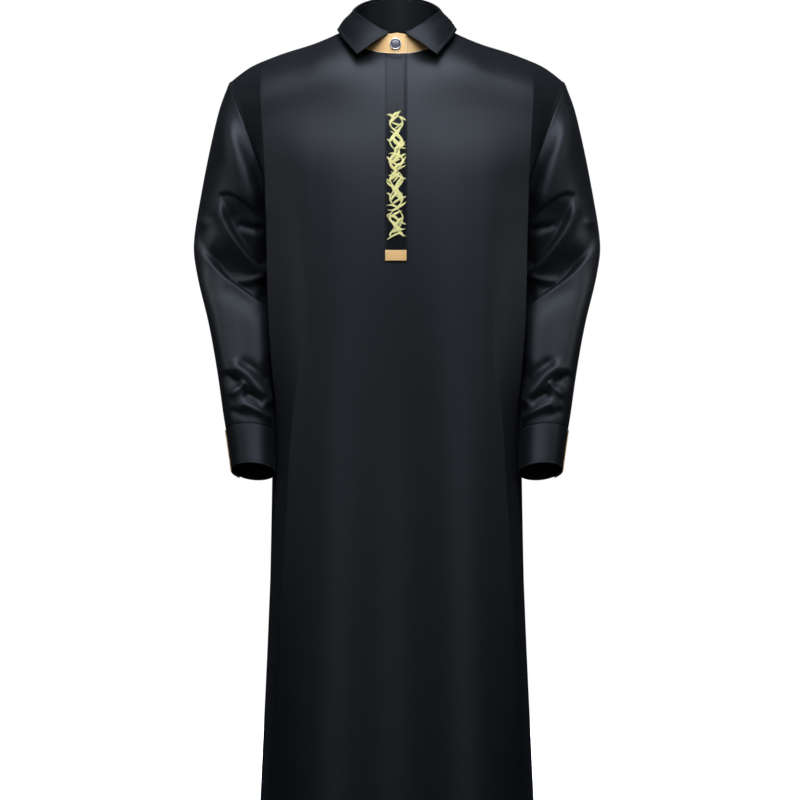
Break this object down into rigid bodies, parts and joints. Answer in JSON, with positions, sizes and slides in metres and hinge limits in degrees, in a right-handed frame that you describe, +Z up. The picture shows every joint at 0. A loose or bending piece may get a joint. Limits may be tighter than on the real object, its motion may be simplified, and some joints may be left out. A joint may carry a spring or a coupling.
{
  "type": "thobe",
  "caption": "Long-sleeved black thobe, hollow as worn, with a pointed collar on a gold stand, a front placket and gold tabs at the placket and cuffs.",
  "frame": {"origin": "centre of the neck base, level with the high points of the shoulders, on the centre plane", "axes": "+Z up to the collar, the front faces -Y, +X towards the wearer's left"},
  "size_m": [0.5686, 0.3316, 1.4848],
  "materials": {
    "black_cloth": "smooth black twill with a faint sheen",
    "gold_cloth": "pale gold satin",
    "steel": "polished",
    "enamel": "dark enamel"
  },
  "bodies": {
    "root": {"front": "black_cloth", "back": "black_cloth", "sleeve_left": "black_cloth", "sleeve_right": "black_cloth", "cuff_left": "black_cloth", "cuff_right": "black_cloth", "cuff_tab_left": "gold_cloth", "cuff_tab_right": "gold_cloth", "collar_stand": "gold_cloth", "collar_stand_inside": "black_cloth", "collar_fall": "black_cloth", "placket": "black_cloth", "placket_tab": "gold_cloth", "neck_button": "steel", "neck_button_centre": "enamel"}
  },
  "joints": []
}
